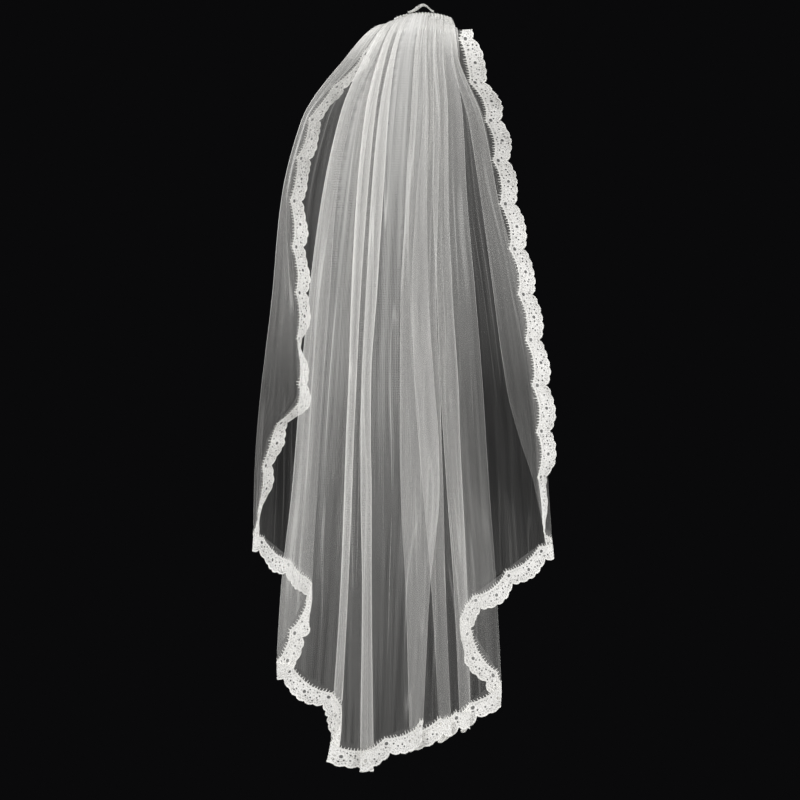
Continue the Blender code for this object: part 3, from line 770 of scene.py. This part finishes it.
def makeLashes(material):
    # short thread ends that stand inwards from the dense lace over the net
    bm = bmesh.new()
    for n in range(int((edgeLength - 2 * lace["starts"]) / cording["lashStep"])):
        run = lace["starts"] + (n + 0.5) * cording["lashStep"]
        wild = noise.noise(Vector((n * 3.17, 1.0, 0)))
        long = cording["lashLength"] * (0.75 + 0.9 * abs(wild))
        lean = noise.noise(Vector((n * 1.9, 6.0, 0))) * cording["lashLean"]
        root = laceInner(run) + cording["lashRoot"]
        here, tip = lacePoint(run, root), lacePoint(run + lean, root - long)
        side = lacePoint(run + 1 * mm, root) - here
        side *= cording["lashWidth"] / max(np.linalg.norm(side), 1e-9)
        out = np.cross(side, tip - here)
        out *= cording["lashLift"] / max(np.linalg.norm(out), 1e-9)
        for vert in bmesh.ops.create_grid(bm, x_segments=1, y_segments=2, size=0.5)["verts"]:
            down = 0.5 - vert.co.y
            place = here + (tip - here) * down
            place += side * vert.co.x * (1 - cording["lashTaper"] * down)
            vert.co = place + out * (1 + 1.5 * math.sin(math.pi * down * 0.8))
    return meshPiece("laceLashes", bm, material)


def cordRows(run):
    # the cords run on the second and the fourth; the others only give the cloth's slope there
    inner, outer = laceInner(run), laceOuter(run)
    return inner - 0.3 * mm, inner, outer - 1.4 * mm, outer - 0.3 * mm


threadStuff = threadMaterial()
edges = lacePoints(cordRows)
outerCord = cordAlong("laceCordOuter", edges[:, 3], cording["outerRadius"], threadStuff)
innerCord = cordAlong("laceCordInner", edges[:, 1], cording["innerRadius"], threadStuff)
laceLashes = makeLashes(threadStuff)
print("cords and lashes made,", len(laceLashes.data.polygons), "lash faces")


# comb, binding and heading

combParts = {
    "length": 76 * mm,
    "teeth": 19,
    "toothLength": 36 * mm,
    "toothRadius": 0.85 * mm,
    "spineHeight": 4.4 * mm,
    "thickness": 1.8 * mm,
    "tilt": math.radians(24),
    "bindingBack": -7.1 * mm,
    "bindingLength": 83 * mm,
    "bindingTop": 1.5 * mm,
    "bindingThickness": 4.4 * mm,
    "bindingHeight": 21 * mm,
    "rollRadius": 1.4 * mm,
    "rollSpan": (-20 * mm, 14 * mm),
    "rollHeight": 7.5 * mm,
    # painted shade and painted light for the gathered net's ribs, both grey, so the white net is
    # painted darker as shade
    "gathersPaintedShade": "#B4B3AF",
    "gathersPaintedLight": "#D4D3CF",
    "stitchTurns": 17,
    "stitchMargin": 7 * mm,
    "stitchRadius": 0.3 * mm,
}
bindingMiddle = combParts["bindingBack"] + combParts["bindingThickness"] / 2


def archPoint(x, reach, thick):
    # a point of the flat comb, tilted forwards and bent to its arch
    sine, cosine = math.sin(combParts["tilt"]), math.cos(combParts["tilt"])
    forward = reach * cosine - thick * sine
    radius = netFall["archRadius"] - reach * sine - thick * cosine
    a = x / netFall["archRadius"]
    return Vector((radius * math.sin(a), forward, radius * math.cos(a) - netFall["archRadius"]))


def combMaterial():
    # moulded clear polycarbonate: glossy, with pale edges where light gathers
    material, tree, shader = newMaterial("clearPolycarbonate")
    where = addNode(tree, "ShaderNodeTexCoord").outputs["Object"]
    flow = addNode(tree, "ShaderNodeTexNoise",
                   {"Vector": where, "Scale": 260.0, "Detail": 2.0}).outputs["Fac"]
    bump = addNode(tree, "ShaderNodeBump",
                   {"Height": flow, "Strength": 0.06, "Distance": 0.0005}).outputs[0]
    setInputs(tree, shader, {"Normal": bump, "Base Color": srgb("#EEF1F2"), "Roughness": 0.12,
                             "IOR": 1.58, "Transmission Weight": 0.7})
    return material


def makeComb():
    bm = bmesh.new()
    bmesh.ops.create_cube(bm, size=1.0)
    lengthways = [e for e in bm.edges if abs(e.verts[0].co.x - e.verts[1].co.x) > 0.5]
    bmesh.ops.subdivide_edges(bm, edges=lengthways, cuts=20, use_grid_fill=True)
    for vert in bm.verts:
        vert.co = archPoint(vert.co.x * combParts["length"], vert.co.y * combParts["spineHeight"],
                            vert.co.z * combParts["thickness"])
    pitch = combParts["length"] / combParts["teeth"]
    toothTop = combParts["spineHeight"] / 2 - 0.3 * mm
    for n in range(combParts["teeth"]):
        x = -combParts["length"] / 2 + (n + 0.5) * pitch
        tooth = bmesh.ops.create_cone(bm, cap_ends=True, segments=12, radius1=1.0, radius2=0.45,
                                      depth=1.0)["verts"]
        for vert in tooth:
            beside, thick = vert.co.x * combParts["toothRadius"], vert.co.y * combParts["toothRadius"]
            reach = toothTop + (vert.co.z + 0.5) * combParts["toothLength"]
            vert.co = archPoint(x + beside, reach, thick)
    piece = meshPiece("hairComb", bm, combMaterial())
    bevel = piece.modifiers.new("Softened", "BEVEL")
    bevel.width = 0.3 * mm
    bevel.segments = 2
    bevel.limit_method = "ANGLE"
    return piece


def gatheredMaterial():
    # net run up on a thread: many plies together, nearly opaque, ribbed along the gathers; the white
    # net is painted grey as shade, darker in the ribs' hollows and lighter on their crests
    material, tree, shader = newMaterial("gatheredTulle")
    uv = addNode(tree, "ShaderNodeUVMap", uv_map="cloth").outputs["UV"]
    ribAt = addNode(tree, "ShaderNodeMapping", {"Vector": uv, "Scale": (420, 60, 1)}).outputs[0]
    ribs = addNode(tree, "ShaderNodeTexNoise", {"Vector": ribAt, "Scale": 1.0, "Detail": 3.0},
                   noise_dimensions="2D").outputs["Fac"]
    bump = addNode(tree, "ShaderNodeBump",
                   {"Height": ribs, "Strength": 0.8, "Distance": 0.001}).outputs[0]
    # painted shade in the hollows of the ribs, painted light on their crests
    paintedLightShare = addNode(tree, "ShaderNodeMapRange", {0: ribs, 1: 0.3, 2: 0.65}).outputs[0]
    colour = addNode(tree, "ShaderNodeMix", {0: paintedLightShare, 6: srgb(combParts["gathersPaintedShade"]),
                                             7: srgb(combParts["gathersPaintedLight"])},
                     data_type="RGBA").outputs[2]
    cover = addNode(tree, "ShaderNodeMapRange", {0: ribs, 1: 0.25, 2: 0.6, 3: 0.62, 4: 0.9}).outputs[0]
    setInputs(tree, shader, {"Normal": bump, "Base Color": colour, "Alpha": cover, "Roughness": 0.8})
    return material


def tubeGrid(name, centres, reachAt, material, around=28):
    # a closed skin round a path that runs along X; reachAt gives the section in Y and Z
    points = np.zeros((len(centres), around + 1, 3))
    uvs = np.zeros((len(centres), around + 1, 2))
    for i, centre in enumerate(centres):
        for j in range(around + 1):
            a = 2 * math.pi * j / around
            y, z = reachAt(i / (len(centres) - 1), a)
            points[i, j] = (centre[0], centre[1] + y, centre[2] + z)
            uvs[i, j] = (centre[0], a * 0.004)
    piece = gridPiece(name, points, uvs, {}, material)
    bm = bmesh.new()
    bm.from_mesh(piece.data)
    bmesh.ops.remove_doubles(bm, verts=bm.verts, dist=0.000001)
    bmesh.ops.holes_fill(bm, edges=bm.edges, sides=0)
    bmesh.ops.recalc_face_normals(bm, faces=bm.faces)
    bm.to_mesh(piece.data)
    bm.free()
    return piece


def makeBinding(material):
    half, thick = combParts["bindingLength"] / 2, combParts["bindingThickness"] / 2
    tall = combParts["bindingHeight"] / 2
    centres = [(x, bindingMiddle, combParts["bindingTop"] - tall + combArch(x))
               for x in np.linspace(-half, half, 240)]

    def reachAt(share, a):
        pucker = 1 + 0.10 * noise.noise(Vector((share * 60, math.sin(a) * 0.8, math.cos(a) * 0.8)))
        pucker += 0.05 * noise.noise(Vector((share * 160, a, 3)))
        end = max(0.0, 1 - min(share, 1 - share) / 0.1)
        ends = max(math.sqrt(1 - end * end), 0.3)
        y = math.copysign(abs(math.cos(a)) ** 0.7, math.cos(a)) * thick * 0.93 * pucker
        z = math.copysign(abs(math.sin(a)) ** 0.85, math.sin(a)) * tall * 0.96 * (0.5 + 0.5 * pucker)
        return y * ends, z * ends - 2 * mm * (1 - ends)

    return tubeGrid("combBinding", centres, reachAt, material)


def makeHeading(material):
    left, right = combParts["rollSpan"]
    foot = combParts["bindingTop"] + combParts["rollRadius"] + 0.3 * mm
    centres = []
    for share in np.linspace(0, 1, 90):
        x = left + (right - left) * share
        lean = 0.5 - 0.5 * math.cos(math.pi * 2 * share ** 1.35)
        centres.append((x, bindingMiddle, combArch(x) + foot + combParts["rollHeight"] * lean))

    def reachAt(share, a):
        rough = 1 + 0.3 * noise.noise(Vector((share * 34, math.sin(a), math.cos(a))))
        rough *= combParts["rollRadius"] * (1.0 + 0.9 * math.exp(-((share - 0.38) / 0.2) ** 2))
        return math.cos(a) * rough * 1.25, math.sin(a) * rough

    return tubeGrid("headingRoll", centres, reachAt, material, around=16)


def makeStitches(material):
    # overcast stitches that hold the gathers on the comb's spine
    half = combParts["bindingLength"] / 2 - combParts["stitchMargin"]
    middle = combParts["bindingTop"] - combParts["bindingHeight"] / 2
    deep = combParts["bindingThickness"] / 2 + 0.25 * mm
    tall = combParts["bindingHeight"] / 2 + 0.2 * mm
    points = []
    for share in np.linspace(0, 1, combParts["stitchTurns"] * 12 + 1):
        x = -half + 2 * half * share
        a = 2 * math.pi * share * combParts["stitchTurns"]
        y, z = bindingMiddle + math.cos(a) * deep, combArch(x) + middle + math.sin(a) * tall
        points.append((x, y, z))
    return cordAlong("bindingStitches", points, combParts["stitchRadius"], material)


gatheredStuff = gatheredMaterial()
hairComb = makeComb()
combBinding = makeBinding(gatheredStuff)
headingRoll = makeHeading(gatheredStuff)
bindingStitches = makeStitches(threadStuff)
print("comb, binding and heading made")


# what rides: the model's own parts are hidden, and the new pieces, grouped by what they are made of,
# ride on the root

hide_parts("net_back", "net_left_fall", "net_right_fall")
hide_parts("lace_left_edge", "lace_left_fall", "lace_hem", "lace_right_fall",
            "lace_right_edge")
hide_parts("binding")
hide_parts("heading_roll")
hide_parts("comb")
pieceSlots = {
    "net": (veilNet,),
    "lace": (laceEdging, outerCord, innerCord, laceLashes),
    "tape": (combBinding, headingRoll, bindingStitches),
    "clear_plastic": (hairComb,),
}
for slotName, pieces in pieceSlots.items():
    for piece in pieces:
        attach(piece, "root")


# floor, light and camera

studio = {
    "floorDrop": 1.65,  # from the comb, about as high as it is worn
    "floorRadius": 0.9,
    "world": "#0A0A0B",
    "floor": "#ABAAA7",
    "lens": 100,
    "away": 2.8,
    "aim": (-0.030, -0.087, -0.5014),
}


def makeFloor():
    # matt painted board: pale and even, so that the white net still shows against it
    material, tree, shader = newMaterial("paleStudioFloor")
    where = addNode(tree, "ShaderNodeTexCoord").outputs["Object"]
    grain = addNode(tree, "ShaderNodeTexNoise",
                    {"Vector": where, "Scale": 60.0, "Detail": 3.0}).outputs["Fac"]
    rough = addNode(tree, "ShaderNodeMapRange", {0: grain, 3: 0.6, 4: 0.75}).outputs[0]
    setInputs(tree, shader, {"Roughness": rough, "Base Color": srgb(studio["floor"])})
    bm = bmesh.new()
    bmesh.ops.create_circle(bm, cap_ends=True, segments=96, radius=studio["floorRadius"])
    bmesh.ops.translate(bm, verts=bm.verts, vec=(0, 0, -studio["floorDrop"]))
    meshPiece("studioFloor", bm, material)


def addLight(name, place, aim, size, power):
    data = bpy.data.lights.new(name, "AREA")
    data.shape = "DISK"
    data.size = size
    data.energy = power
    light = addObject(name, data)
    light.location = place
    light.rotation_euler = (Vector(aim) - Vector(place)).to_track_quat("-Z", "Y").to_euler()


makeFloor()
softboxes = (
    # name, place, aim, size, watts
    ("keySoftbox", (-1.2, -2.6, 0.7), (0, 0, -0.45), 1.6, 52),
    ("fillSoftbox", (1.5, -2.5, -0.3), (0, 0, -0.5), 1.8, 40),
    ("topSoftbox", (0.0, -0.5, 1.9), (0, -0.05, -0.3), 1.2, 16),
    ("farSoftboxLeft", (-1.5, 2.4, 0.3), (0, 0, -0.45), 1.8, 52),
    ("farSoftboxRight", (1.5, 2.4, 0.0), (0, 0, -0.45), 1.8, 44),
    ("sideSoftboxLeft", (-2.7, 0.1, -0.1), (0, 0.03, -0.45), 1.6, 34),
    ("sideSoftboxRight", (2.7, 0.1, -0.1), (0, 0.03, -0.45), 1.6, 34),
)
for softbox in softboxes:
    addLight(*softbox)
world = bpy.data.worlds.new("studioWorld")
world.use_nodes = True
world.node_tree.nodes["Background"].inputs["Color"].default_value = srgb(studio["world"])
bpy.context.scene.world = world
bpy.context.scene.view_settings.view_transform = "Standard"

cameraData = bpy.data.cameras.new("photoCamera")
cameraData.lens = studio["lens"]
camera = addObject("photoCamera", cameraData)
camera.location = Vector(studio["aim"]) + Vector((0, -studio["away"], 0))
camera.rotation_euler = (math.pi / 2, 0, 0)
bpy.context.scene.camera = camera

print("scene ready")
